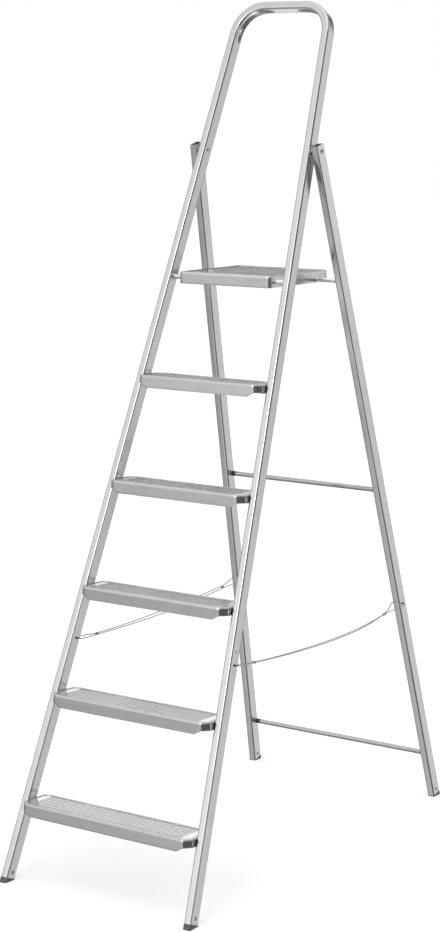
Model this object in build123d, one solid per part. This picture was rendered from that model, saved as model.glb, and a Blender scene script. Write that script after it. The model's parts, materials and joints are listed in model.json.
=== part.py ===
from build123d import *
import os
from math import acos, cos, radians, sin, tan

# Layout, in millimetres and degrees
step_count = 5
first_step_height = 163.2  # top of the lowest tread, at the middle of the stile
step_rise = 212.0
pivot_height = 1474.5
front_lean = 21.3
rear_lean = 15.4
side_taper = 3.5  # each stile and leg leans inwards by this much in the plane of its frame
pivot_width = 276.0  # over the stiles at the pivot
hoop_rise = 329.2  # from the pivot to the top of the hoop, along the stiles
hoop_bend_radius = 64.5  # on the centre line of the tube
hoop_crush = 3.8  # depth to which the inner wall of each hoop bend is pressed in
hoop_crush_margin = 0.5  # flat left between the pressed valley and the rounded corners
fold_gap = 4.0  # between a stile and the rear leg beside it
leg_top_rise = 13.0  # end of the rear leg above the pivot

# Rectangular tube of both frames
tube_width = 17.0
tube_depth = 28.5
tube_wall = 1.2
tube_corner = 4.0

# Treads
sheet = 1.2
tread_depth = 86.0
tread_overhang = 29.9  # nose ahead of the front face of the stile
tread_tilt = 2.5  # nose above level
tread_skirt = 26.0
tread_end_flange = 17.2
tread_relief = 14.5  # length over which the skirt is cut away towards the nose corners
tread_bevel_width = 13.0
tread_bevel_depth = 17.0
tread_back_radius = 20.0
tread_nose_radius = 12.0
tread_bevel_radius = 5.0
tread_rounding = 3.0
rim_width = 7.0
pan_drop = 1.0
rib_count = 8
rib_pitch = 8.7
rib_width = 2.6
rib_height = 0.8
rib_ramp = 3.0  # slope at each end of a rib
rib_inset = 23.0  # rib end short of the tread end

# Platform
platform_width = 226.8
platform_skirt = 24.8
platform_corner = 10.0
platform_rounding = 3.5
rod_setback = 20.4  # pivot rod behind the front edge of the platform
rod_drop = 12.5  # pivot rod below the top of the platform
rest_overhang = 37.0  # platform behind the rest rod
notch_room = 0.3
notch_ramp = 45.0

# Rods and crossbars
pivot_rod_diameter = 11.0
pivot_rod_entry = 9.0  # past the inner face of the stile
rest_rod_diameter = 9.0
rest_rod_drop = 19.4  # rest rod below the top of the platform
rest_rod_end_height = 12.0
rest_rod_end_thickness = 5.6
crossbar_diameter = 10.6
crossbar_end_height = 14.0
crossbar_end_thickness = 6.4
bar_flare = 14.0
crossbar_heights = (740.5, 106.5)

# Pivot rivets and washers
pivot_shank = 6.0
pivot_bore = 3.6
pivot_bore_depth = 7.0
pivot_head = 9.0
pivot_head_height = 1.4
pivot_head_room = 0.4
washer_diameter = 16.0
washer_bore = 6.6
washer_thickness = 3.3

# Tread rivets
rivet_sides = 8
rivet_shank = 4.8
rivet_head = 8.4
rivet_head_height = 1.3
rivet_tail = 4.0  # shank past the wall of the stile
rivet_drop = 7.6
rivet_spacing = 12.0

# Feet
foot_lip = 0.8
foot_floor = 0.8  # least thickness of the foot below the tube
plug_length = 28.0
plug_wall = 2.0
plug_clearance = 0.15
nib_rise = 12.0
nib_height = 7.0
nib_depth = 5.0
nib_clearance = 0.2

# Small holes in the tubes
cord_hole = 6.0
cord_hole_height = 477.0
spare_hole = 4.0
spare_hole_height = 501.5
spare_hole_setback = 2.1  # ahead of the centre line of the stile

# Cord and knots
cord_diameter = 2.2
cord_sides = 6
corner_share = 0.45  # share of the shorter run that an arc takes
knot_length = 13.0
knot_diameter = 6.5
knot_rounding = 2.5

fit = 0.05  # between parts that touch


# Frames through the pivot: u across, v up the frame, w towards the front
front_tan = tan(radians(front_lean))
front_cos = cos(radians(front_lean))
front_sin = sin(radians(front_lean))
rear_tan = tan(radians(rear_lean))
rear_cos = cos(radians(rear_lean))
rear_sin = sin(radians(rear_lean))
tread_sin = sin(radians(front_lean - tread_tilt))
tread_cos = cos(radians(front_lean - tread_tilt))
taper_tan = tan(radians(side_taper))
taper_cos = cos(radians(side_taper))
taper_sin = sin(radians(side_taper))
half_depth = tube_depth / 2
half_width = tube_width / 2 / taper_cos  # measured along u
front_reach = pivot_height * front_tan + (half_depth + foot_lip) / front_cos
rear_reach = pivot_height * rear_tan + (half_depth + foot_lip) / rear_cos
pivot_y = (front_reach - rear_reach) / 2
pivot_point = (0, pivot_y, pivot_height)
front = Plane(pivot_point, x_dir=(1, 0, 0), z_dir=(0, -front_cos, front_sin)).location
rear = Plane(pivot_point, x_dir=(1, 0, 0), z_dir=(0, -rear_cos, -rear_sin)).location
front_end = (foot_floor - pivot_height + half_depth * front_sin) / front_cos
rear_end = (foot_floor - pivot_height + half_depth * rear_sin) / rear_cos
platform_top = first_step_height + step_count * step_rise
pivot_rod_v = (platform_top - rod_drop - pivot_height) / front_cos
pivot_rod_y = pivot_y + pivot_rod_v * front_sin
rest_rod_v = (platform_top - rest_rod_drop - pivot_height) / rear_cos
rest_rod_y = pivot_y - rest_rod_v * rear_sin
platform_depth = rod_setback + rest_rod_y - pivot_rod_y + rest_overhang
tread_nose = -half_depth / tread_cos - tread_overhang


def stile_u(v):
    return pivot_width / 2 - half_width - v * taper_tan


def leg_u(v):
    return stile_u(v) + 2 * half_width + fold_gap / taper_cos


def step_v(step):
    return (first_step_height + step * step_rise - pivot_height) / front_cos


def step_frame(step):
    # Top of a tread at the middle of the stile: y to the back, z square to the tread
    v = step_v(step)
    tilt = radians(tread_tilt)
    place = (0, pivot_y + v * front_sin, pivot_height + v * front_cos)
    return Plane(place, x_dir=(1, 0, 0), z_dir=(0, sin(tilt), cos(tilt))).location


def on_stile(step, y, z):
    # Place in the frame of a tread, as v and w on the stile
    return step_v(step) + y * tread_sin + z * tread_cos, z * tread_sin - y * tread_cos


def tread_end(step, y, z):
    return stile_u(on_stile(step, y, z)[0]) - half_width - fit


def tube_end_frame(u, v):
    # At the lower end of a right-hand tube: x outwards, y to the rear, z up the tube
    return Plane((u, v, 0), x_dir=(taper_cos, taper_sin, 0), z_dir=(-taper_sin, taper_cos, 0)).location


def side_frame(u, v, w):
    # On a side face of a right-hand tube: z outwards, square to the face
    return Plane((u, v, w), x_dir=(0, 0, 1), z_dir=(taper_cos, taper_sin, 0)).location


def cross_bore(v, w, diameter, reach):
    return Pos(0, v, w) * Rot(0, 90, 0) * Cylinder(diameter / 2, 2 * reach)


def left_of(shape):
    return shape.mirror(Plane.YZ)


# Tubes
def swept_bar(path, inset):
    start = Plane(path @ 0, x_dir=(0, 0, 1), z_dir=path % 0)
    section = RectangleRounded(tube_depth - 2 * inset, tube_width - 2 * inset, tube_corner - inset)
    return sweep(start * section, path)


def swept_tube(path):
    return swept_bar(path, 0) - swept_bar(path, tube_wall)


def bend_crush(centre, inset):
    # Ring that presses a valley into the inner wall of a bend
    half = half_depth - tube_corner - hoop_crush_margin
    valley_radius = (half**2 + hoop_crush**2) / (2 * hoop_crush)
    reach = hoop_bend_radius - tube_width / 2 + hoop_crush
    return Pos(*centre) * Torus(reach - valley_radius, valley_radius + inset)


def hoop_tube(path, bend_centres):
    outer = swept_bar(path, 0)
    inner = swept_bar(path, tube_wall)
    for centre in bend_centres:
        outer -= bend_crush(centre, 0)
        inner -= bend_crush(centre, tube_wall)
    return outer - inner


def nib_slot(u, v):
    slot = Box(2 * tube_width, nib_depth + 2 * nib_clearance, nib_height + 2 * nib_clearance)
    return tube_end_frame(u, v) * Pos(0, 0, nib_rise) * slot


def rivet_spots(step):
    # Pair of rivets through the end flange, as v and w on the stile
    return [on_stile(step, y, -rivet_drop) for y in (-rivet_spacing / 2, rivet_spacing / 2)]


def rivet_frames():
    spots = [spot for step in range(step_count) for spot in rivet_spots(step)]
    return [side_frame(stile_u(v) - half_width, v, w) for v, w in spots]


def front_frame_tube():
    top = hoop_rise - tube_width / 2
    foot_u = stile_u(front_end)
    top_u = stile_u(top)
    corners = [(-foot_u, front_end), (-top_u, top), (top_u, top), (foot_u, front_end)]
    path = FilletPolyline(*corners, radius=hoop_bend_radius)
    bends = path.edges().filter_by(GeomType.CIRCLE)
    tube = hoop_tube(path, [bend.arc_center for bend in bends])
    cord_v = (cord_hole_height - pivot_height) / front_cos
    spare_v = (spare_hole_height - pivot_height) / front_cos
    tube -= cross_bore(0, 0, pivot_shank + 2 * fit, pivot_width)
    tube -= cross_bore(cord_v, 0, cord_hole, foot_u + tube_width)
    tube -= cross_bore(pivot_rod_v, 0, pivot_rod_diameter + 2 * fit, stile_u(pivot_rod_v))
    right = nib_slot(foot_u, front_end)
    spare = side_frame(stile_u(spare_v) + half_width, spare_v, spare_hole_setback)
    right += spare * Cylinder(spare_hole / 2, tube_width)
    for frame in rivet_frames():
        right += frame * Cylinder(rivet_shank / 2 + fit, tube_width)
    return front * (tube - right - left_of(right))


def rear_leg():
    lower = (leg_u(rear_end), rear_end)
    upper = (leg_u(leg_top_rise), leg_top_rise)
    cord_v = (cord_hole_height - pivot_height) / rear_cos
    leg = swept_tube(Line(lower, upper))
    leg -= cross_bore(0, 0, pivot_shank + 2 * fit, pivot_width)
    leg -= cross_bore(cord_v, 0, cord_hole, lower[0] + tube_width)
    return rear * (leg - nib_slot(*lower))


def foot(tube_end):
    bore_width = tube_width - 2 * tube_wall - 2 * plug_clearance
    bore_depth = tube_depth - 2 * tube_wall - 2 * plug_clearance
    shoe = RectangleRounded(tube_width + 2 * foot_lip, tube_depth + 2 * foot_lip, tube_corner + foot_lip)
    plug = RectangleRounded(bore_width, bore_depth, tube_corner - tube_wall)
    core = Rectangle(bore_width - 2 * plug_wall, bore_depth - 2 * plug_wall)
    body = extrude(shoe, -tube_depth) + extrude(plug - core, plug_length)
    nib = Box(tube_width, nib_depth, nib_height) - Box(bore_width - plug_wall, tube_depth, tube_depth)
    body += Pos(0, 0, nib_rise) * nib
    return split(tube_end * body, Plane.XY, keep=Keep.TOP)


# Treads
def tread_outline(step, z, inset):
    bevel_y = tread_nose + tread_bevel_depth
    back_y = tread_nose + tread_depth
    right = [(tread_end(step, tread_nose, z) - tread_bevel_width, tread_nose)]
    right += [(tread_end(step, y, z), y) for y in (bevel_y, back_y)]
    left = [(-x, y) for x, y in reversed(right)]
    outline = make_face(Polyline(*right, *left, close=True))
    rows = outline.vertices().group_by(Axis.Y)
    outline = fillet(rows[-1], tread_back_radius)
    rows = outline.vertices().group_by(Axis.Y)
    outline = fillet(rows[0], tread_nose_radius)
    bevels = [v for v in outline.vertices() if abs(v.Y - bevel_y) < fit]
    outline = fillet(bevels, tread_bevel_radius)
    if inset:
        outline = offset(outline, -inset, kind=Kind.INTERSECTION)
    return Pos(0, 0, z) * outline


def tread_relief_cut(step):
    end = tread_end(step, tread_nose, 0) - tread_bevel_width
    inner = end - tread_relief
    below = -2 * tread_skirt
    corners = [(inner, below), (inner, -tread_skirt), (end, -tread_end_flange)]
    corners += [(2 * end, -tread_end_flange), (2 * end, below)]
    face = make_face(Polyline(*corners, close=True))
    return extrude(Plane.XZ * face, 2 * tread_depth, both=True)


def rib(length):
    base = Pos(0, 0, -fit) * Rectangle(length, rib_width)
    crest = Pos(0, 0, rib_height) * Rectangle(length - 2 * rib_ramp, rib_width / 2)
    return loft([base, crest], ruled=True)


def tread(step):
    shell = loft([tread_outline(step, -tread_skirt, 0), tread_outline(step, 0, 0)], ruled=True)
    shell = fillet(shell.faces().sort_by(Axis.Z)[-1].edges(), tread_rounding)
    below = -tread_skirt - sheet
    ceiling = -pan_drop - sheet
    shell -= loft([tread_outline(step, below, sheet), tread_outline(step, ceiling, sheet)], ruled=True)
    shell -= extrude(tread_outline(step, -pan_drop, rim_width), tread_skirt)
    cut = tread_relief_cut(step)
    shell -= cut
    shell -= left_of(cut)
    middle_y = tread_nose + tread_depth / 2
    length = 2 * (tread_end(step, middle_y, 0) - rib_inset)
    for i in range(rib_count):
        y = middle_y + (i - (rib_count - 1) / 2) * rib_pitch
        shell += Pos(0, y, -pan_drop) * rib(length)
    shell = step_frame(step) * shell
    for v, w in rivet_spots(step):
        hole = side_frame(stile_u(v) - half_width, v, w) * Cylinder(rivet_shank / 2 + fit, 4 * sheet)
        shell -= front * hole
        shell -= front * left_of(hole)
    return shell


def tread_rivet():
    # Seated on the inside of the end flange; z runs through the flange and the stile wall
    seat = -sheet - fit
    crown = Pos(0, 0, seat - rivet_head_height) * RegularPolygon(rivet_head / 4, rivet_sides)
    rim = Pos(0, 0, seat) * RegularPolygon(rivet_head / 2, rivet_sides)
    shank = Pos(0, 0, seat) * RegularPolygon(rivet_shank / 2, rivet_sides)
    return loft([crown, rim], ruled=True) + extrude(shank, tube_wall + rivet_tail - seat)


def tread_rivets():
    right = [frame * tread_rivet() for frame in rivet_frames()]
    return Compound(children=[front * r for r in right] + [front * left_of(r) for r in right])


# Platform
def platform():
    top = platform_top
    middle_y = pivot_rod_y - rod_setback + platform_depth / 2
    outline = RectangleRounded(platform_width, platform_depth, platform_corner)
    inner = RectangleRounded(platform_width - 2 * sheet, platform_depth - 2 * sheet, platform_corner - sheet)
    pan_width = platform_width - 2 * rim_width
    pan = RectangleRounded(pan_width, platform_depth - 2 * rim_width, platform_corner - rim_width)
    tray = extrude(outline, -platform_skirt)
    tray = fillet(tray.faces().sort_by(Axis.Z)[-1].edges(), platform_rounding)
    tray -= Pos(0, 0, -pan_drop - sheet) * extrude(inner, -platform_skirt)
    tray -= Pos(0, 0, -pan_drop) * extrude(pan, platform_skirt)
    tray = Pos(0, middle_y, top) * tray
    tray -= Pos(0, pivot_rod_y, top - rod_drop) * Rot(0, 90, 0) * Cylinder(
        pivot_rod_diameter / 2 + fit, 2 * platform_width
    )
    return tray - Pos(0, rest_rod_y, top - rest_rod_drop) * rest_notch()


def rest_notch():
    # Round over the rod, upright behind it and ramped ahead of it, open below
    radius = rest_rod_diameter / 2 + notch_room
    low = -platform_skirt
    c = cos(radians(notch_ramp))
    s = sin(radians(notch_ramp))
    tangent = (-radius * s, radius * c)
    run = (tangent[1] - low) * c / s
    corners = [(0, 0), tangent, (tangent[0] - run, low), (radius, low), (radius, 0)]
    side = make_face(Polyline(*corners, close=True)) + Circle(radius)
    return extrude(Plane.YZ * side, platform_width, both=True)


# Rods
def platform_pivot_rod():
    reach = stile_u(pivot_rod_v) - half_width + pivot_rod_entry
    return Pos(0, pivot_rod_y, platform_top - rod_drop) * Rot(0, 90, 0) * Cylinder(
        pivot_rod_diameter / 2, 2 * reach
    )


def flared_bar(v, diameter, end_height, end_thickness):
    # Round between the legs, pressed oval against the inner face of each leg
    end_u = leg_u(v) - half_width - fit
    bar_u = end_u - bar_flare
    bar_face = Plane((bar_u, v, 0), x_dir=(0, 0, 1), z_dir=(1, 0, 0)) * Circle(diameter / 2)
    end_plane = Plane((end_u, v, 0), x_dir=(0, 0, 1), z_dir=(taper_cos, taper_sin, 0))
    end_face = end_plane * Ellipse(end_thickness / 2, end_height / 2)
    flare = loft([bar_face, end_face])
    bar = extrude(bar_face, -2 * bar_u) + flare + left_of(flare)
    return rear * bar


def rear_crossbar(height):
    v = (height - pivot_height) / rear_cos
    return flared_bar(v, crossbar_diameter, crossbar_end_height, crossbar_end_thickness)


# Pivot hardware
def pivot_rivet():
    inner = stile_u(0) - half_width - pivot_head_room
    outer = leg_u(0) + half_width + pivot_head_room
    head = pivot_head / 2
    shank = pivot_shank / 2
    outline = [(0, inner - pivot_head_height), (head / 2, inner - pivot_head_height)]
    outline += [(head, inner), (shank, inner), (shank, outer), (head, outer)]
    outline += [(head, outer + pivot_head_height / 2), (pivot_bore / 2 + 1, outer + pivot_head_height)]
    outline += [(pivot_bore / 2, outer), (pivot_bore / 2, outer - pivot_bore_depth)]
    outline += [(0, outer - pivot_bore_depth)]
    turned = revolve(Plane.XZ * make_face(Polyline(*outline, close=True)), Axis.Z)
    return Pos(*pivot_point) * Rot(0, 90, 0) * turned


def pivot_washer():
    disc = Cylinder(washer_diameter / 2, washer_thickness) - Cylinder(washer_bore / 2, 2 * washer_thickness)
    lift = washer_thickness / 2 + fit
    return front * side_frame(stile_u(0) + half_width, 0, 0) * Pos(0, 0, lift) * disc


# Cord routes: out along the upper strand, round the leg, back along the lower strand, round the stile
cord_right = [
    (198, -215, 464.6), (199.5, -168, 461.1), (201.5, -113, 457.7), (203, -58, 454.9), (204, -3, 452.7),
    (205.5, 52, 451.2), (206.5, 107, 450.5), (207.5, 160, 451.3), (209, 208, 453.9), (211, 252, 458.1),
    (212.5, 297, 464.2), (219.5, 322, 468), (229, 346, 473.4), (227, 357.9, 476.4),
    (201, 358.7, 477.1), (198.5, 347.4, 474), (205.5, 322, 465.6),
    (207.5, 296, 459.8), (207, 252, 453.1), (205.5, 208, 448.7), (204, 160, 446), (202.5, 107, 445.4),
    (201, 52, 446.2), (199.5, -3, 447.9), (198, -58, 450.5), (196.5, -113, 453.8), (195, -168, 457.8),
    (193, -222, 462.4), (187.5, -262, 467.6), (180.5, -291.5, 473.6), (182.5, -302.8, 476.8),
    (208, -303.1, 477.1), (210.5, -292.4, 474.4), (204, -263, 469), (197, -224, 465),
]
cord_left = [
    (-197, -218, 468.6), (-198.5, -170, 466.8), (-200, -115, 465.6), (-201.5, -60, 465.2), (-203, -5, 465.6),
    (-204, 50, 466.6), (-205.5, 105, 467.6), (-206.5, 160, 469.2), (-208, 205, 470.2), (-210, 246, 471.6),
    (-211.5, 285, 472.6), (-219.5, 318, 473), (-229, 346, 474.6), (-227, 357.9, 476.6),
    (-201, 358.7, 477.1), (-198.5, 347.4, 474.8), (-205.5, 318, 471.8),
    (-206.5, 285, 469.4), (-206, 246, 467.2), (-205, 205, 465.4), (-203.5, 160, 463.4), (-202, 105, 462),
    (-200.5, 50, 461.2), (-199, -5, 461), (-197.5, -60, 461.6), (-196, -115, 462.8), (-194.5, -170, 464.6),
    (-193, -224, 467), (-187.5, -263, 469.8), (-180.5, -291.5, 474), (-182.5, -302.8, 476.8),
    (-208, -303.1, 477.1), (-210.5, -292.4, 474.6), (-204, -264, 470.8), (-197, -228, 469),
]


def corner_radii(route):
    points = [Vector(*p) for p in route]
    radii = []
    for before, here, after in zip(points, points[1:], points[2:]):
        arrive = here - before
        leave = after - here
        turn = acos(min(1.0, arrive.normalized().dot(leave.normalized())))
        radii.append(corner_share * min(arrive.length, leave.length) / tan(turn / 2))
    return radii


def knot(first, second):
    # Barrel of turned cord around both strands, seated between the two given route points
    middle = (Vector(*first) + Vector(*second)) / 2
    barrel = Cylinder(knot_diameter / 2, knot_length)
    barrel = fillet(barrel.edges().filter_by(GeomType.CIRCLE), knot_rounding)
    return Pos(middle.X, middle.Y, middle.Z) * Rot(90, 0, 0) * barrel


def cord(name, route, front_knot, rear_knot):
    radii = corner_radii(route)
    path = FilletPolyline(*route, radius=radii)
    start = Plane(path @ 0, z_dir=path % 0)
    section = start * RegularPolygon(cord_diameter / 2, cord_sides)
    tube = sweep(section, path)
    due = section.area * path.length
    print(name, "length", round(path.length), "tube volume / due", round(tube.volume / due, 4))
    print(name, "radii", [round(r, 1) for r in radii])
    for first, second in (front_knot, rear_knot):
        tube += knot(route[first], route[second])
    return tube


def write(name, shape):
    shape.label = name
    export_step(shape, os.path.join("parts", name + ".step"))


def main():
    os.makedirs("parts", exist_ok=True)
    write("front_frame_tube", front_frame_tube())
    for step in range(step_count):
        write(f"tread_{step + 1}", tread(step))
    write("tread_rivets", tread_rivets())
    write("platform_pivot_rod", platform_pivot_rod())
    write("platform", platform())
    write("platform_rest_rod", flared_bar(
        rest_rod_v, rest_rod_diameter, rest_rod_end_height, rest_rod_end_thickness
    ))
    for name, height in zip(("rear_crossbar_upper", "rear_crossbar_lower"), crossbar_heights):
        write(name, rear_crossbar(height))
    pairs = {
        "rear_leg": rear_leg(),
        "front_foot": foot(front * tube_end_frame(stile_u(front_end), front_end)),
        "rear_foot": foot(rear * tube_end_frame(leg_u(rear_end), rear_end)),
        "pivot_rivet": pivot_rivet(),
        "pivot_washer": pivot_washer(),
    }
    for name, shape in pairs.items():
        write(name + "_right", shape)
        write(name + "_left", left_of(shape))
    write("restraint_cord_right", cord("right cord", cord_right, (0, 27), (10, 17)))
    write("restraint_cord_left", cord("left cord", cord_left, (0, 27), (10, 17)))


main()
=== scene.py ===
import json
import math

import bmesh
import bpy
from mathutils import Matrix, Vector


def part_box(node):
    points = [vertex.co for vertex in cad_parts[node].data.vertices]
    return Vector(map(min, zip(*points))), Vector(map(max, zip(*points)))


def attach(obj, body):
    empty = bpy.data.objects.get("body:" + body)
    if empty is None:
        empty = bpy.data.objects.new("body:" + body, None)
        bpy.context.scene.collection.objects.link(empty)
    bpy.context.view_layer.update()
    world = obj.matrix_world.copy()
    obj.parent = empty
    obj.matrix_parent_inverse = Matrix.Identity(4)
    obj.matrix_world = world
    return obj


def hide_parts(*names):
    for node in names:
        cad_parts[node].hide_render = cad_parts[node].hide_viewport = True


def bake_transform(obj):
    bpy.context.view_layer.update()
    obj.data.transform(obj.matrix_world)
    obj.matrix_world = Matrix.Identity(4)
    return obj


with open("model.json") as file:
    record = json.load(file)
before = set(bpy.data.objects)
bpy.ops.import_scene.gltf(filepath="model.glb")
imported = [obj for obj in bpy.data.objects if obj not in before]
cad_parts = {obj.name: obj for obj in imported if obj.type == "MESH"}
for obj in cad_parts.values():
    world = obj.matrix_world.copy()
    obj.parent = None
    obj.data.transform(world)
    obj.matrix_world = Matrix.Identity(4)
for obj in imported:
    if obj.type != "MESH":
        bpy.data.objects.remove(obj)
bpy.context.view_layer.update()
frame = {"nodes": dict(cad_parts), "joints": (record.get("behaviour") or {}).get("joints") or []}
nodes = frame["nodes"]
joints = {joint["name"]: joint for joint in frame["joints"]}

# Shape of the frames, in metres and radians
PIVOT = Vector(joints["rear_frame_fold"]["pos_m"])
FRONT_LEAN = math.radians(21.3)
REAR_LEAN = math.radians(15.4)
SIDE_TAPER = math.radians(3.5)
STILE_REACH = 0.1295  # centre line of the stile from the middle plane, level with the pivot
LEG_REACH = 0.1505
HOOP_TOP = 0.3207  # centre line of the hoop above the pivot, along the stiles
HOOP_RADIUS = 0.0645
STEPS = range(1, 6)
STEP_RISE = 0.212
FIRST_STEP = 0.1632
TREAD_TILT = math.radians(2.5)
PAN_DROP = 0.001
RIB_MIDDLE = -0.002  # middle of the ribs, back from the middle of the stile
RIB_REACH = 0.036
RIB_END = 0.0305  # end of the ribs from the centre line of the stile
RIB_BAND = 0.55  # of the drop of the pan, on each side of its middle

# Small pieces, in metres
RIVET_HEAD = 0.0084
RIVET_SHANK = 0.0048
RIVET_HEIGHT = 0.0013
RIVET_LENGTH = 0.0078
RIVET_DIMPLE = 0.32  # of the head
RIVET_SIDES = 20
RIVET_WELD = 1e-6  # corners closer than this are one
PIP_DIAMETER = 0.0085
PIP_HEIGHT = 0.001
PIP_PLACES = ((-0.0131, 0.0658), (-0.0144, 0.1080))
CORD_DIAMETER = 0.0022
CORD_SIDES = 8
CORD_EYES = (-0.3005, 0.3560)  # front to back, where a cord enters stile and leg
# reach of the painted shade on the cord at each eye
EYE_SHADE_REACH = 0.007
KNOT_DIAMETER = 0.0064
KNOT_LENGTH = 0.0130
KNOT_TURNS = 5
KNOT_STEPS = 14  # points in a turn
KNOT_TUCK = 0.45  # of the radius, at both ends of the winding

# Finish of the metal: tones from 0 to 1, noise per metre, reaches in metres
METALLIC = 0.94
GRAIN_STRETCH = 0.02
FINE_GRAIN = 1600.0
FINE_SHARE = 0.4  # of the drawn lines, where the rest is broad
BROAD_GRAIN = 260.0
CLOUD_GRAIN = 26.0
CLOUD_SHARE = 0.35  # of the tone, where the rest is drawn lines
NOISE_BAND = (0.3, 0.7)  # the part of a noise that is spread over a range
ROUGHNESS_SWING = 0.2
SCUFF_GRAIN = 90.0
SCUFF_BAND = (0.60, 0.72)
SCUFF_SHARE = 0.25
SCUFF_TONE = 0.80
SCUFF_ROUGHNESS = 0.06
EDGE_BAND = (0.995, 0.9)  # agreement of the rounded and the plain normal, on a flat face and on an edge
EDGE_SHARE = 0.85
# lighter edges: wear and a painted highlight
EDGE_WEAR_AND_HIGHLIGHT_TONE = 0.92
WIDE_WEAR_AND_HIGHLIGHT = 0.0045  # reach of the wear and painted highlight on the edges of treads and platform
FINE_WEAR_AND_HIGHLIGHT = 0.0018  # and on the ribs
END_SHADE_TONE = 0.16  # painted shade on tread faces that look sideways
# painted dark reflection near the left end of the crossbars
DARK_END_TONE = 0.05
DARK_END_RISE = (0.35, 0.55)  # parts of the length of the painted dark reflection
DARK_END_FALL = (0.9, 1.4)
HOLLOW_SHADE_TONE = 0.06  # painted shade in corners and inside tubes
HOLLOW_SHADE_REACH = 0.014
CLOSED_AT = 0.10  # share of open sky at which the painted shade in a corner is full
OPEN_AT = 0.62  # and at which it has its own tone
TUBE_OPEN_AT = 0.32  # the same on the tube of the front frame
GRAIN_STRENGTH = 0.10
GRAIN_DEPTH = 0.0002
MASK_SAMPLES = 6

# Faces told apart by the parts of their normals
SIDEWAYS = 0.97
LEVEL_BAND = 0.02
RIB_SLOPE = 0.6
RIB_SLOPE_BAND = 0.25

# Finish of the plastic
MOULD_GRAIN = 1800.0
MOULD_ROUGHNESS = (0.30, 0.50)
MOULD_STRENGTH = 0.25
MOULD_DEPTH = 0.0003
RUB_GRAIN = 120.0
RUB_BAND = (0.52, 0.70)
RUB_SHARE = 0.5
RUB_TONE = 2.6  # times the tone of the plastic

# Finish of the cord
LAY_GRAIN = 480.0
LAY_WANDER = 0.8
LAY_STRENGTH = 0.6
LAY_DEPTH = 0.0003
STRAND_TONES = (0.24, 0.62)  # between the strands and on them
CORD_SOIL_GRAIN = 60.0
CORD_SOIL_BAND = (0.5, 0.8)
CORD_SOIL_SHARE = 0.5
CORD_SOIL_TONE = 0.22
CORD_ROUGHNESS = 0.72
CORD_SHEEN = 0.15
# painted shade on the cord inside the eyes
EYE_SHADE_TONE = 0.03

# Camera
CAMERA_PLACE = Vector((2.3669, -3.6770, 1.5510))
CAMERA_YAW = math.radians(33.117)
CAMERA_PITCH = math.radians(-9.563)
CAMERA_ROLL = math.radians(0.329)
FOCAL_PIXELS = 2094.4
IMAGE_HEIGHT = 932
SENSOR = 36.0

# Floor and key light
FLOOR_REACH = 30
FLOOR_TONE = 0.8
FLOOR_GLOW = 0.46
KEY_PLACE = (0.6, -4.6, 3.4)
KEY_TARGET = (0, 0, 0.9)
KEY_SIZE = 2.2
KEY_POWER = 45


def add_camera():
    data = bpy.data.cameras.new("camera")
    data.sensor_width = SENSOR
    data.lens = SENSOR * FOCAL_PIXELS / IMAGE_HEIGHT
    camera = bpy.data.objects.new("camera", data)
    bpy.context.scene.collection.objects.link(camera)
    yaw, pitch = CAMERA_YAW, CAMERA_PITCH
    ahead = Vector((-math.sin(yaw) * math.cos(pitch), math.cos(yaw) * math.cos(pitch), math.sin(pitch)))
    right = Vector((math.cos(yaw), math.sin(yaw), 0))
    up = right.cross(ahead)
    across = right * math.cos(CAMERA_ROLL) + up * math.sin(CAMERA_ROLL)
    above = up * math.cos(CAMERA_ROLL) - right * math.sin(CAMERA_ROLL)
    turn = Matrix((across, above, -ahead)).transposed().to_4x4()
    camera.matrix_world = Matrix.Translation(CAMERA_PLACE) @ turn
    bpy.context.scene.camera = camera
    bpy.context.scene.view_settings.view_transform = "Standard"


# Colour sockets of a mix node
MIX_FIRST = 6
MIX_SECOND = 7
MIX_RESULT = 2


# Node helpers
def new_material(name):
    material = bpy.data.materials.new(name)
    material.use_nodes = True
    return material, material.node_tree.nodes["Principled BSDF"]


def put(tree, socket, value):
    if isinstance(value, bpy.types.NodeSocket):
        tree.links.new(value, socket)
    else:
        socket.default_value = value


def calc(tree, operation, *values):
    made = tree.nodes.new("ShaderNodeMath")
    made.operation = operation
    for socket, value in zip(made.inputs, values):
        put(tree, socket, value)
    return made.outputs["Value"]


def vector_of(tree, x, y, z):
    made = tree.nodes.new("ShaderNodeCombineXYZ")
    for socket, value in zip(made.inputs, (x, y, z)):
        put(tree, socket, value)
    return made.outputs["Vector"]


def parts_of(tree, vector):
    made = tree.nodes.new("ShaderNodeSeparateXYZ")
    tree.links.new(vector, made.inputs["Vector"])
    return made.outputs["X"], made.outputs["Y"], made.outputs["Z"]


def local_place(tree):
    return tree.nodes.new("ShaderNodeTexCoord").outputs["Object"]


def noise(tree, vector, scale, detail=3.0, roughness=0.5):
    made = tree.nodes.new("ShaderNodeTexNoise")
    made.inputs["Scale"].default_value = scale
    made.inputs["Detail"].default_value = detail
    made.inputs["Roughness"].default_value = roughness
    tree.links.new(vector, made.inputs["Vector"])
    return made.outputs["Fac"]


def spread(tree, value, from_low, from_high, low, high, smooth=False):
    made = tree.nodes.new("ShaderNodeMapRange")
    if smooth:
        made.interpolation_type = "SMOOTHSTEP"
    made.inputs["From Min"].default_value = from_low
    made.inputs["From Max"].default_value = from_high
    made.inputs["To Min"].default_value = low
    made.inputs["To Max"].default_value = high
    tree.links.new(value, made.inputs["Value"])
    return made.outputs["Result"]


def mixed(tree, share, first, second):
    made = tree.nodes.new("ShaderNodeMix")
    made.data_type = "RGBA"
    put(tree, made.inputs["Factor"], share)
    put(tree, made.inputs[MIX_FIRST], first)
    put(tree, made.inputs[MIX_SECOND], second)
    return made.outputs[MIX_RESULT]


def bumped(tree, shader, height, strength, distance, normal=None):
    made = tree.nodes.new("ShaderNodeBump")
    made.inputs["Strength"].default_value = strength
    made.inputs["Distance"].default_value = distance
    tree.links.new(height, made.inputs["Height"])
    if normal:
        tree.links.new(normal, made.inputs["Normal"])
    tree.links.new(made.outputs["Normal"], shader.inputs["Normal"])


def grey(level, blue=1.02):
    return (level, level, level * blue, 1)


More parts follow.
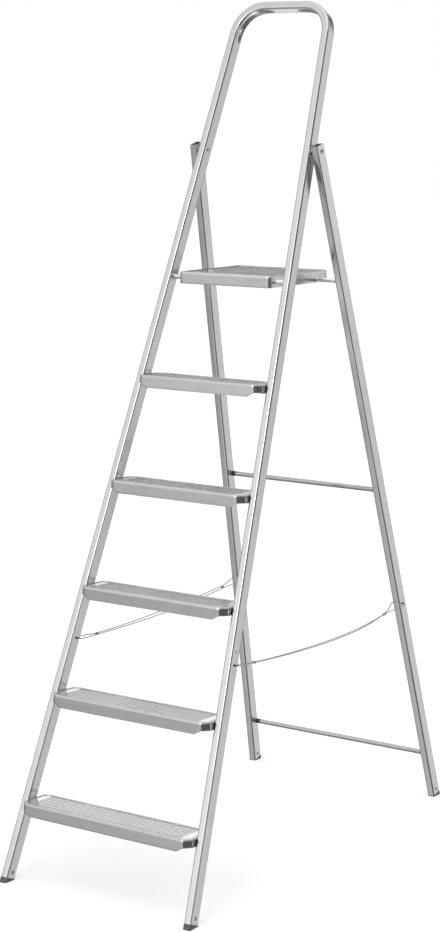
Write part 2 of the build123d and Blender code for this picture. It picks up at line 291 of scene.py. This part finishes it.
# Places on the frames, and directions of the grain
def frame_place(tree, lean):
    # Place on a leaning frame: out from the middle plane, up the frame and square to it, from the pivot
    x, y, z = parts_of(tree, local_place(tree))
    y = calc(tree, "SUBTRACT", y, PIVOT.y)
    z = calc(tree, "SUBTRACT", z, PIVOT.z)
    up = calc(tree, "MULTIPLY_ADD", y, math.sin(lean), calc(tree, "MULTIPLY", z, math.cos(lean)))
    square = calc(tree, "MULTIPLY_ADD", y, -math.cos(lean), calc(tree, "MULTIPLY", z, math.sin(lean)))
    return calc(tree, "ABSOLUTE", x), up, square


def beside_line(tree, out, up, reach):
    # Distance out from the tapering centre line of a stile or a leg
    line = calc(tree, "MULTIPLY_ADD", up, -math.tan(SIDE_TAPER), reach)
    return calc(tree, "MULTIPLY", calc(tree, "SUBTRACT", out, line), math.cos(SIDE_TAPER))


def leg_grain(tree):
    out, up, square = frame_place(tree, -REAR_LEAN)
    return vector_of(tree, beside_line(tree, out, up, LEG_REACH), square, up)


def hoop_grain(tree):
    # Distance from the bent centre line of the tube, so that the grain goes round the hoop
    out, up, square = frame_place(tree, FRONT_LEAN)
    side = calc(tree, "ADD", beside_line(tree, out, up, STILE_REACH), HOOP_RADIUS)
    top = calc(tree, "ADD", up, HOOP_RADIUS - HOOP_TOP)
    side_part = calc(tree, "MAXIMUM", side, 0.0)
    top_part = calc(tree, "MAXIMUM", top, 0.0)
    squares = calc(tree, "MULTIPLY_ADD", side_part, side_part, calc(tree, "MULTIPLY", top_part, top_part))
    inner = calc(tree, "MINIMUM", calc(tree, "MAXIMUM", side, top), 0.0)
    across = calc(tree, "ADD", calc(tree, "SQRT", squares), calc(tree, "SUBTRACT", inner, HOOP_RADIUS))
    return vector_of(tree, across, square, calc(tree, "SUBTRACT", up, out))


def level_grain(tree):
    x, y, z = parts_of(tree, local_place(tree))
    return vector_of(tree, y, z, x)


# Masks
def facing(tree):
    # Parts of the normal of the face itself
    return parts_of(tree, tree.nodes.new("ShaderNodeNewGeometry").outputs["True Normal"])


def edge_wear_and_highlight(tree, radius):
    # Normal rounded over the edges, and a mask: 0 on flat faces, rising to 1 on edges, which lightens them
    # for wear and as a painted highlight
    bevel = tree.nodes.new("ShaderNodeBevel")
    bevel.samples = MASK_SAMPLES
    bevel.inputs["Radius"].default_value = radius
    plain = tree.nodes.new("ShaderNodeNewGeometry")
    made = tree.nodes.new("ShaderNodeVectorMath")
    made.operation = "DOT_PRODUCT"
    tree.links.new(bevel.outputs["Normal"], made.inputs[0])
    tree.links.new(plain.outputs["Normal"], made.inputs[1])
    return bevel.outputs["Normal"], spread(tree, made.outputs["Value"], *EDGE_BAND, 0.0, 1.0)


def shade(tree, open_at):
    # Mask of the painted shade: 1 in the open, falling to 0 in corners and inside tubes
    made = tree.nodes.new("ShaderNodeAmbientOcclusion")
    made.samples = MASK_SAMPLES
    made.only_local = True
    made.inputs["Distance"].default_value = HOLLOW_SHADE_REACH
    return spread(tree, made.outputs["AO"], CLOSED_AT, open_at, 0.0, 1.0)


def dark_end_reflection(tree, share):
    # Where a dark reflection is painted: 1 on a band near the left end of a bar, 0 elsewhere
    end = parts_of(tree, tree.nodes.new("ShaderNodeTexCoord").outputs["Generated"])[0]
    rise = spread(tree, end, *(share * part for part in DARK_END_RISE), 0.0, 1.0, smooth=True)
    fall = spread(tree, end, *(share * part for part in DARK_END_FALL), 1.0, 0.0, smooth=True)
    return calc(tree, "MULTIPLY", rise, fall)


def tread_place(tree):
    # Place on a tread: back from the middle of the stile, and up from the plane of the rim
    y, z = parts_of(tree, local_place(tree))[1:]
    lift = calc(tree, "SNAP", calc(tree, "ADD", z, STEP_RISE / 2 - FIRST_STEP), STEP_RISE)
    start = PIVOT.y + (FIRST_STEP - PIVOT.z) * math.tan(FRONT_LEAN)
    lean = calc(tree, "MULTIPLY", lift, math.tan(FRONT_LEAN))
    back = calc(tree, "SUBTRACT", calc(tree, "SUBTRACT", y, start), lean)
    up = calc(tree, "SUBTRACT", calc(tree, "SUBTRACT", z, FIRST_STEP), lift)
    rise = calc(tree, "MULTIPLY", up, math.cos(TREAD_TILT))
    return back, calc(tree, "MULTIPLY_ADD", back, math.sin(TREAD_TILT), rise)


def ribbed_area(tree):
    # 1 on the part of a tread that carries the ribs, 0 on the rim and the skirts
    out, up = frame_place(tree, FRONT_LEAN)[:2]
    inside = calc(tree, "LESS_THAN", beside_line(tree, out, up, STILE_REACH), -RIB_END)
    back = tread_place(tree)[0]
    return calc(tree, "MULTIPLY", inside, calc(tree, "COMPARE", back, RIB_MIDDLE, RIB_REACH))


def rib_sides(tree):
    # Where shade is painted: 1 on the sloping sides of the tread ribs, below the level of the rim
    sunk = calc(tree, "COMPARE", tread_place(tree)[1], -PAN_DROP / 2, PAN_DROP * RIB_BAND)
    sloping = calc(tree, "COMPARE", facing(tree)[2], RIB_SLOPE, RIB_SLOPE_BAND)
    return calc(tree, "MULTIPLY", sunk, sloping)


def end_faces(tree):
    # Where shade is painted on the tread ends: 1 on faces that look sideways
    return calc(tree, "GREATER_THAN", calc(tree, "ABSOLUTE", facing(tree)[0]), SIDEWAYS)


def walked_face(tree):
    # Where shade is painted: 1 on faces that look straight up
    return calc(tree, "COMPARE", facing(tree)[2], 1.0, LEVEL_BAND)


# Materials
def plated(
    name, grain_of, level, roughness, streak=0.10, wear_and_highlight=0.0, fine_of=None, painted_shade_of=None, painted_shade_level=1.0, dull=0.0,
    dark_of=None, dark_end_share=0.0, open_at=OPEN_AT,
):
    # Bright zinc on steel: streaks drawn along the grain, faint clouds, scuffs, edges lighter from wear and
    # a painted highlight, painted shade in corners.
    # Masks tell which edges are finer (fine_of) and which faces get painted shade, on top faces and rib
    # sides and on tread ends; a further argument paints a dark reflection near one end of a bar.
    material, shader = new_material(name)
    tree = material.node_tree
    shader.inputs["Metallic"].default_value = METALLIC
    across, through, along = parts_of(tree, grain_of(tree))
    drawn = vector_of(tree, across, through, calc(tree, "MULTIPLY", along, GRAIN_STRETCH))
    fine = noise(tree, drawn, FINE_GRAIN, detail=2.0)
    broad = noise(tree, drawn, BROAD_GRAIN)
    cloud = noise(tree, local_place(tree), CLOUD_GRAIN, detail=5.0, roughness=0.6)
    scuff = noise(tree, drawn, SCUFF_GRAIN, detail=6.0, roughness=0.75)
    scuff = spread(tree, scuff, *SCUFF_BAND, 0.0, 1.0)
    lines = calc(tree, "MULTIPLY_ADD", fine, FINE_SHARE, calc(tree, "MULTIPLY", broad, 1 - FINE_SHARE))
    tone = calc(tree, "MULTIPLY_ADD", cloud, CLOUD_SHARE, calc(tree, "MULTIPLY", lines, 1 - CLOUD_SHARE))
    tone = spread(tree, tone, *NOISE_BAND, 0.0, 1.0)
    colour = mixed(tree, tone, grey(level * (1 - streak)), grey(level * (1 + streak)))
    colour = mixed(tree, calc(tree, "MULTIPLY", scuff, SCUFF_SHARE), colour, grey(level * SCUFF_TONE))
    rounded = None
    if wear_and_highlight:
        rounded, edges = edge_wear_and_highlight(tree, wear_and_highlight)
        if fine_of:
            fine_rounded, fine_edges = edge_wear_and_highlight(tree, FINE_WEAR_AND_HIGHLIGHT)
            area = fine_of(tree)
            rounded = mixed(tree, area, rounded, fine_rounded)
            edges = mixed(tree, area, edges, fine_edges)
        # edges lighter from wear and a painted highlight
        colour = mixed(tree, calc(tree, "MULTIPLY", edges, EDGE_SHARE), colour, grey(EDGE_WEAR_AND_HIGHLIGHT_TONE, 1.0))
    smoothest, roughest = roughness * (1 - ROUGHNESS_SWING), roughness * (1 + ROUGHNESS_SWING)
    rough = spread(tree, cloud, *NOISE_BAND, smoothest, roughest)
    rough = calc(tree, "MULTIPLY_ADD", scuff, SCUFF_ROUGHNESS, rough)
    # painted shade on the faces that the mask picks, with changed roughness
    if painted_shade_of:
        dirt_and_shade = painted_shade_of(tree)
        colour = mixed(tree, dirt_and_shade, colour, grey(level * painted_shade_level))
        rough = calc(tree, "MULTIPLY_ADD", dirt_and_shade, dull, rough)
    # painted shade on the tread ends
    if dark_of:
        colour = mixed(tree, dark_of(tree), colour, grey(END_SHADE_TONE))
    # painted dark reflection near the left end of a bar
    if dark_end_share:
        colour = mixed(tree, dark_end_reflection(tree, dark_end_share), colour, grey(DARK_END_TONE, blue=0.95))
    # painted shade in corners and inside tubes
    colour = mixed(tree, shade(tree, open_at), grey(HOLLOW_SHADE_TONE), colour)
    tree.links.new(colour, shader.inputs["Base Color"])
    tree.links.new(rough, shader.inputs["Roughness"])
    bumped(tree, shader, lines, GRAIN_STRENGTH, GRAIN_DEPTH, rounded)
    return material


def plastic(name, level):
    material, shader = new_material(name)
    tree = material.node_tree
    place = local_place(tree)
    grain = noise(tree, place, MOULD_GRAIN)
    rubbed = noise(tree, place, RUB_GRAIN, detail=6.0, roughness=0.7)
    rubbed = spread(tree, rubbed, *RUB_BAND, 0.0, RUB_SHARE)
    colour = mixed(tree, rubbed, grey(level), grey(level * RUB_TONE))
    tree.links.new(colour, shader.inputs["Base Color"])
    tree.links.new(spread(tree, grain, *NOISE_BAND, *MOULD_ROUGHNESS), shader.inputs["Roughness"])
    bumped(tree, shader, grain, MOULD_STRENGTH, MOULD_DEPTH)
    return material


def laid_cord(name):
    material, shader = new_material(name)
    tree = material.node_tree
    place = local_place(tree)
    lay = tree.nodes.new("ShaderNodeTexWave")
    lay.bands_direction = "DIAGONAL"
    lay.inputs["Scale"].default_value = LAY_GRAIN
    lay.inputs["Distortion"].default_value = LAY_WANDER
    tree.links.new(place, lay.inputs["Vector"])
    dirt_and_shade = noise(tree, place, CORD_SOIL_GRAIN, detail=4.0)
    dirt_and_shade = spread(tree, dirt_and_shade, *CORD_SOIL_BAND, 0.0, CORD_SOIL_SHARE)
    hollow, ridge = (grey(level, 1.0) for level in STRAND_TONES)
    strand = mixed(tree, lay.outputs["Fac"], hollow, ridge)
    colour = mixed(tree, dirt_and_shade, strand, grey(CORD_SOIL_TONE, 1.0))
    run = parts_of(tree, place)[1]
    # painted shade: the cord darkens where it goes into the eyes of stile and leg
    in_stile = spread(tree, run, CORD_EYES[0], CORD_EYES[0] + EYE_SHADE_REACH, 1.0, 0.0, smooth=True)
    in_leg = spread(tree, run, CORD_EYES[1] - EYE_SHADE_REACH, CORD_EYES[1], 0.0, 1.0, smooth=True)
    colour = mixed(tree, calc(tree, "MAXIMUM", in_stile, in_leg), colour, grey(EYE_SHADE_TONE, 1.0))
    tree.links.new(colour, shader.inputs["Base Color"])
    shader.inputs["Roughness"].default_value = CORD_ROUGHNESS
    shader.inputs["Sheen Weight"].default_value = CORD_SHEEN
    bumped(tree, shader, lay.outputs["Fac"], LAY_STRENGTH, LAY_DEPTH)
    return material


def paint(names, material):
    for name in names:
        mesh = nodes[name].data
        mesh.materials.clear()
        mesh.materials.append(material)


# Studio: brightness by bearing, in degrees from the front towards +X, times brightness by height in degrees
FRONT_WALL = (
    ((-104, 0.0), (-90, 0.40), (-62, 0.62), (-50, 0.80), (-40, 0.86), (-37, 0.94), (-34, 1.10), (-20, 1.2),
     (-12, 1.2), (12, 1.2), (22, 0.06), (30, 0.0)),
    ((-90, 0.22), (-60, 0.30), (-46, 0.50), (-41, 0.55), (-37, 0.48), (-31, 0.34), (-22, 0.44), (-15, 0.47),
     (-11, 0.42), (-8, 0.42), (-6, 0.49), (-4.5, 0.61), (-2, 0.64), (4, 0.8), (12, 1.0), (30, 1.0),
     (35, 1.02), (37, 0.96), (39, 0.80), (42, 0.92), (44, 0.95), (47, 0.90), (50, 0.90), (54, 0.0)),
)
RIGHT_WALL = (
    ((16, 0.0), (30, 1.0), (103, 1.0), (110, 0.0)),
    ((-90, 0.12), (-30, 0.12), (-22, 0.06), (-3, 0.06), (5, 0.08), (40, 0.08), (44, 1.2), (49, 1.2),
     (54, 0.0)),
)
FRONT_WINDOW = (
    ((30, 0.0), (37, 1.0), (52, 1.0), (58, 0.0)),
    ((4, 0.0), (8, 0.6), (17, 0.6), (20, 0.0)),
)
RIGHT_WINDOW = (
    ((84, 0.0), (94, 1.0), (118, 1.0), (128, 0.0)),
    ((-16, 0.0), (-11, 1.2), (-6, 1.1), (0, 0.50), (5, 0.45), (9, 0.0)),
)
SIDE_WALL = (
    ((110, 0.0), (118, 0.25), (128, 0.40), (137, 0.95), (142, 1.02), (153, 1.0), (160, 0.75), (167, 0.20),
     (180, 0.08)),
    ((-90, 0.30), (-45, 0.55), (-25, 0.68), (-12, 0.72), (-8, 0.72), (-5, 0.64), (-3, 0.66), (2, 0.84),
     (6, 0.80), (44, 0.80), (53, 0.0)),
)
BACK_WALL = (
    ((-180, 0.08), (-171, 0.15), (-162, 0.85), (-156, 1.0), (-139, 1.0), (-122, 0.62), (-104, 0.50),
     (-92, 0.0), (166, 0.0), (180, 0.08)),
    ((-90, 0.20), (-46, 0.28), (-41, 1.0), (-34, 1.1), (-29, 0.45), (-10, 0.40), (0, 0.28), (4.6, 0.30),
     (6, 0.68), (9, 1.18), (12, 1.22), (15, 1.28), (25, 1.0), (44, 0.70), (53, 0.0)),
)
LOW_WALL = (
    ((-180, 1.0), (-172, 1.0), (-162, 0.0), (148, 0.0), (156, 1.0), (180, 1.0)),
    ((-90, 1.3), (-42, 1.3), (-30, 0.9), (-20, 0.0)),
)
CEILING = (
    ((-180, 0.45), (-126, 0.45), (-112, 1.0), (170, 1.0), (180, 0.45)),
    ((50, 0.0), (54, 1.15), (90, 1.15)),
)
STUDIO = (FRONT_WALL, RIGHT_WALL, FRONT_WINDOW, RIGHT_WINDOW, SIDE_WALL, BACK_WALL, LOW_WALL, CEILING)
RAMP_SCALE = 2.0


def level_ramp(tree, value, stops, low, high):
    # The ramp holds a part of each level, so that no colour in it is above 1
    made = tree.nodes.new("ShaderNodeValToRGB")
    ramp = made.color_ramp
    while len(ramp.elements) < len(stops):
        ramp.elements.new(0.5)
    for element, (where, level) in zip(ramp.elements, stops):
        element.position = (where - low) / (high - low)
        element.color = grey(level / RAMP_SCALE, 1.0)
    tree.links.new(spread(tree, value, math.radians(low), math.radians(high), 0.0, 1.0), made.inputs["Fac"])
    return calc(tree, "MULTIPLY", made.outputs["Color"], RAMP_SCALE)


def add_world():
    world = bpy.data.worlds.new("studio")
    bpy.context.scene.world = world
    world.use_nodes = True
    tree = world.node_tree
    x, y, z = parts_of(tree, tree.nodes.new("ShaderNodeTexCoord").outputs["Generated"])
    bearing = calc(tree, "ARCTAN2", x, calc(tree, "MULTIPLY", y, -1.0))
    height = calc(tree, "ARCSINE", z)
    light = 0.0
    for bearings, heights in STUDIO:
        around = level_ramp(tree, bearing, bearings, -180, 180)
        light = calc(tree, "MULTIPLY_ADD", around, level_ramp(tree, height, heights, -90, 90), light)
    # White to the camera, the studio to every other ray
    seen = tree.nodes.new("ShaderNodeLightPath").outputs["Is Camera Ray"]
    sky = mixed(tree, seen, vector_of(tree, light, light, light), grey(1.0, 1.0))
    tree.links.new(sky, tree.nodes["Background"].inputs["Color"])


def add_floor():
    mesh = bpy.data.meshes.new("floor")
    corners = [(x * FLOOR_REACH, y * FLOOR_REACH, 0) for x, y in ((-1, -1), (1, -1), (1, 1), (-1, 1))]
    mesh.from_pydata(corners, [], [(0, 1, 2, 3)])
    floor = bpy.data.objects.new("floor", mesh)
    bpy.context.scene.collection.objects.link(floor)
    material, shader = new_material("floor_pale")
    shader.inputs["Base Color"].default_value = grey(FLOOR_TONE, 1.0)
    shader.inputs["Roughness"].default_value = 1.0
    shader.inputs["Specular IOR Level"].default_value = 0.0
    shader.inputs["Emission Color"].default_value = grey(1.0, 1.0)
    shader.inputs["Emission Strength"].default_value = FLOOR_GLOW
    mesh.materials.append(material)
    floor.visible_glossy = False


def add_light(name, place, target, size, power):
    data = bpy.data.lights.new(name, "AREA")
    data.size = size
    data.energy = power
    light = bpy.data.objects.new(name, data)
    bpy.context.scene.collection.objects.link(light)
    light.location = place
    light.rotation_euler = (Vector(target) - Vector(place)).to_track_quat("-Z", "Y").to_euler()


# Mesh helpers
def finish_mesh(name, mesh, material):
    bmesh.ops.recalc_face_normals(mesh, faces=mesh.faces)
    data = bpy.data.meshes.new(name)
    mesh.to_mesh(data)
    mesh.free()
    for face in data.polygons:
        face.use_smooth = True
    data.materials.append(material)
    piece = bpy.data.objects.new(name, data)
    bpy.context.scene.collection.objects.link(piece)
    return piece


def add_tube(mesh, points, radius, sides):
    side = Vector((0, 0, 1))
    rings = []
    for i, p in enumerate(points):
        ahead = (points[min(i + 1, len(points) - 1)] - points[max(i - 1, 0)]).normalized()
        side = (side - ahead * side.dot(ahead)).normalized()
        other = ahead.cross(side)
        angles = [2 * math.pi * k / sides for k in range(sides)]
        spots = [p + radius * (side * math.cos(a) + other * math.sin(a)) for a in angles]
        rings.append([mesh.verts.new(spot) for spot in spots])
    for a, b in zip(rings, rings[1:]):
        for k in range(sides):
            mesh.faces.new((a[k], a[(k + 1) % sides], b[(k + 1) % sides], b[k]))
    mesh.faces.new(rings[0])
    mesh.faces.new(rings[-1])


def add_turned(mesh, outline, base, axis, sides):
    # Closed turned body: outline holds radius and height, from the middle of one end to that of the other
    turn = axis.to_track_quat("Z", "X").to_matrix()
    rings = []
    for radius, height in outline:
        angles = [2 * math.pi * k / sides for k in range(sides if radius else 1)]
        spots = [Vector((radius * math.cos(a), radius * math.sin(a), height)) for a in angles]
        rings.append([mesh.verts.new(base + turn @ spot) for spot in spots])
    for a, b in zip(rings, rings[1:]):
        for k in range(sides):
            corners = [a[k % len(a)], a[(k + 1) % len(a)], b[(k + 1) % len(b)], b[k % len(b)]]
            mesh.faces.new(list(dict.fromkeys(corners)))


# Rivets and pips
def rivet_outline():
    # Domed head with a dimple in its middle, on a plain shank
    head = RIVET_HEAD / 2
    shank = RIVET_SHANK / 2
    top = RIVET_HEIGHT
    tail = RIVET_HEIGHT - RIVET_LENGTH
    dimple = head * RIVET_DIMPLE
    return (
        (0, top * 0.45), (dimple * 0.8, top * 0.5), (dimple, top * 0.9), (dimple * 1.25, top),
        (head * 0.6, top * 0.96), (head * 0.82, top * 0.72), (head * 0.95, top * 0.4), (head, 0.0),
        (shank, 0.0), (shank, tail), (0, tail),
    )


def rivet_islands():
    # Corners of each rivet of the solid model in turn
    mesh = bmesh.new()
    mesh.from_mesh(nodes["tread_rivets"].data)
    bmesh.ops.remove_doubles(mesh, verts=mesh.verts, dist=RIVET_WELD)
    left = set(mesh.verts)
    while left:
        island = set()
        reach = [next(iter(left))]
        while reach:
            vert = reach.pop()
            if vert not in island:
                island.add(vert)
                reach += [edge.other_vert(vert) for edge in vert.link_edges]
        left -= island
        yield [vert.co.copy() for vert in island]
    mesh.free()


def add_rivets(material):
    mesh = bmesh.new()
    up = Vector((0, math.sin(FRONT_LEAN), math.cos(FRONT_LEAN)))
    for spots in rivet_islands():
        hand = math.copysign(1, spots[0].x)
        axis = -hand * Vector((math.cos(SIDE_TAPER), 0, 0)) - math.sin(SIDE_TAPER) * up
        tip = max(spot.dot(axis) for spot in spots)
        middle = sum(spots, Vector()) / len(spots)
        base = middle + axis * (tip - RIVET_HEIGHT - middle.dot(axis))
        add_turned(mesh, rivet_outline(), base, axis, RIVET_SIDES)
    piece = finish_mesh("blind_rivets", mesh, material)
    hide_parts("tread_rivets")
    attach(piece, "front_frame")


def add_pips(material):
    mesh = bmesh.new()
    radius = PIP_DIAMETER / 2
    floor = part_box("platform")[1].z - PAN_DROP
    outline = (
        (0, PIP_HEIGHT), (radius * 0.35, PIP_HEIGHT * 0.94), (radius * 0.65, PIP_HEIGHT * 0.72),
        (radius * 0.85, PIP_HEIGHT * 0.38), (radius, 0.0), (radius, -PIP_HEIGHT / 2), (0, -PIP_HEIGHT / 2),
    )
    for x, y in PIP_PLACES:
        add_turned(mesh, outline, Vector((x, y, floor)), Vector((0, 0, 1)), RIVET_SIDES)
    piece = finish_mesh("platform_pips", mesh, material)
    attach(piece, "platform_tray")


# Cords, in millimetres: out along the upper strand, round the leg, back along the lower, round the stile
ROUTE_RIGHT = [
    (198, -215, 464.6), (199.5, -168, 461.1), (201.5, -113, 457.7), (203, -58, 454.9), (204, -3, 452.7),
    (205.5, 52, 451.2), (206.5, 107, 450.5), (207.5, 160, 451.3), (209, 208, 453.9), (211, 252, 458.1),
    (212.5, 297, 464.2), (219.5, 322, 468), (229, 346, 473.4), (227, 357.9, 476.4), (221, 358.6, 476.7),
    (206.5, 358.9, 476.9), (201, 358.7, 477.1), (198.5, 347.4, 474), (205.5, 322, 465.6),
    (207.5, 296, 459.8), (207, 252, 453.1), (205.5, 208, 448.7), (204, 160, 446), (202.5, 107, 445.4),
    (201, 52, 446.2), (199.5, -3, 447.9), (198, -58, 450.5), (196.5, -113, 453.8), (195, -168, 457.8),
    (193, -222, 462.4), (187.5, -262, 467.6), (180.5, -291.5, 473.6), (182.5, -302.8, 476.8),
    (188, -303.1, 476.9), (203, -303.2, 477), (208, -303.1, 477.1), (210.5, -292.4, 474.4), (204, -263, 469),
    (197, -224, 465),
]
ROUTE_LEFT = [
    (-197, -218, 468.6), (-198.5, -170, 466.8), (-200, -115, 465.6), (-201.5, -60, 465.2), (-203, -5, 465.6),
    (-204, 50, 466.6), (-205.5, 105, 467.6), (-206.5, 160, 469.2), (-208, 205, 470.2), (-210, 246, 471.6),
    (-211.5, 285, 472.6), (-219.5, 318, 473), (-229, 346, 474.6), (-227, 357.9, 476.6), (-221, 358.6, 476.8),
    (-206.5, 358.9, 476.9), (-201, 358.7, 477.1), (-198.5, 347.4, 474.8), (-205.5, 318, 471.8),
    (-206.5, 285, 469.4), (-206, 246, 467.2), (-205, 205, 465.4), (-203.5, 160, 463.4), (-202, 105, 462),
    (-200.5, 50, 461.2), (-199, -5, 461), (-197.5, -60, 461.6), (-196, -115, 462.8), (-194.5, -170, 464.6),
    (-193, -224, 467), (-187.5, -263, 469.8), (-180.5, -291.5, 474), (-182.5, -302.8, 476.8),
    (-188, -303.1, 476.9), (-203, -303.2, 477), (-208, -303.1, 477.1), (-210.5, -292.4, 474.6),
    (-204, -264, 470.8), (-197, -228, 469),
]
PER_METRE = 1000  # millimetres
ROUTE_RESOLUTION = 12
FRONT_KNOT = (0, 29)  # places in the route on each side of the knot
REAR_KNOT = (10, 19)


def spline_points(route):
    curve = bpy.data.curves.new("route", "CURVE")
    curve.dimensions = "3D"
    curve.resolution_u = ROUTE_RESOLUTION
    spline = curve.splines.new("NURBS")
    spline.points.add(len(route) - 1)
    for point, (x, y, z) in zip(spline.points, route):
        point.co = (x / PER_METRE, y / PER_METRE, z / PER_METRE, 1)
    spline.order_u = 3
    spline.use_endpoint_u = True
    holder = bpy.data.objects.new("route", curve)
    line = bpy.data.meshes.new_from_object(holder)
    points = [v.co.copy() for v in line.vertices]
    bpy.data.objects.remove(holder)
    bpy.data.curves.remove(curve)
    bpy.data.meshes.remove(line)
    return points


def knot_points(middle, axis):
    # Turns of cord wound round both strands, with the two ends tucked in
    side = axis.orthogonal().normalized()
    other = axis.cross(side)
    steps = KNOT_TURNS * KNOT_STEPS
    points = []
    for i in range(steps + 1):
        share = i / steps
        angle = 2 * math.pi * i / KNOT_STEPS
        tuck = min(1.0, KNOT_TUCK + (1 - KNOT_TUCK) * min(i, steps - i) / KNOT_STEPS)
        radius = (KNOT_DIAMETER - CORD_DIAMETER) / 2 * tuck
        along = (share - 0.5) * (KNOT_LENGTH - CORD_DIAMETER)
        points.append(middle + axis * along + radius * (side * math.cos(angle) + other * math.sin(angle)))
    return points


def add_knot(name, route, ends, material):
    first, second = (Vector(route[i]) / PER_METRE for i in ends)
    before, after = (Vector(route[i + 1]) / PER_METRE for i in ends)
    axis = ((before - first).normalized() - (after - second).normalized()).normalized()
    mesh = bmesh.new()
    add_tube(mesh, knot_points((first + second) / 2, axis), CORD_DIAMETER / 2, CORD_SIDES)
    piece = finish_mesh(name, mesh, material)
    return piece


def follow_fold(piece):
    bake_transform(piece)


def add_cord(side, route, material):
    points = spline_points(route)
    length = sum((b - a).length for a, b in zip(points, points[1:]))
    mesh = bmesh.new()
    add_tube(mesh, points, CORD_DIAMETER / 2, CORD_SIDES)
    piece = finish_mesh("cord_" + side, mesh, material)
    knots = [
        add_knot("front_knot_" + side, route, FRONT_KNOT, material),
        add_knot("rear_knot_" + side, route, REAR_KNOT, material),
    ]
    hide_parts("restraint_cord_" + side)
    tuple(points[0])
    for part in (piece, *knots):
        follow_fold(part)


add_camera()
add_world()
add_floor()
add_light("key", KEY_PLACE, KEY_TARGET, KEY_SIZE, KEY_POWER)

tube_steel = plated("tube_plated", hoop_grain, level=0.72, roughness=0.19, open_at=TUBE_OPEN_AT)
leg_steel = plated("leg_plated", leg_grain, level=0.77, roughness=0.19)
# Treads: painted shade on the rib sides and on the ends that look sideways; edges lighter from wear and a
# painted highlight
tread_steel = plated(
    "tread_plated", level_grain, level=0.73, roughness=0.14, wear_and_highlight=WIDE_WEAR_AND_HIGHLIGHT, fine_of=ribbed_area,
    painted_shade_of=rib_sides, painted_shade_level=0.80, dull=0.12, dark_of=end_faces,
)
# Platform: painted shade on the faces that look straight up; edges lighter from wear and a painted highlight
platform_steel = plated(
    "platform_plated", level_grain, level=0.74, roughness=0.17, wear_and_highlight=WIDE_WEAR_AND_HIGHLIGHT, painted_shade_of=walked_face,
    painted_shade_level=0.62, dull=-0.07,
)
rod_steel = plated("rod_drawn", level_grain, level=0.94, roughness=0.10, streak=0.05)
# crossbars carry a painted dark reflection near their left ends
bar_steel = plated("bar_drawn", level_grain, level=0.54, roughness=0.12, streak=0.06, dark_end_share=0.035)
rivet_steel = plated("rivet_plated", level_grain, level=0.66, roughness=0.30)
foot_plastic = plastic("foot_moulded", level=0.09)
cord_laid = laid_cord("cord_laid")

paint(["front_frame_tube"], tube_steel)
paint(["rear_leg_left", "rear_leg_right"], leg_steel)
paint([f"tread_{step}" for step in STEPS], tread_steel)
paint(["platform"], platform_steel)
paint(["platform_pivot_rod", "platform_rest_rod"], rod_steel)
paint(["rear_crossbar_upper", "rear_crossbar_lower"], bar_steel)
paint(["pivot_rivet_left", "pivot_rivet_right", "pivot_washer_left", "pivot_washer_right"], rivet_steel)
paint(["front_foot_left", "front_foot_right", "rear_foot_left", "rear_foot_right"], foot_plastic)
add_rivets(rivet_steel)
add_pips(platform_steel)
add_cord("right", ROUTE_RIGHT, cord_laid)
add_cord("left", ROUTE_LEFT, cord_laid)
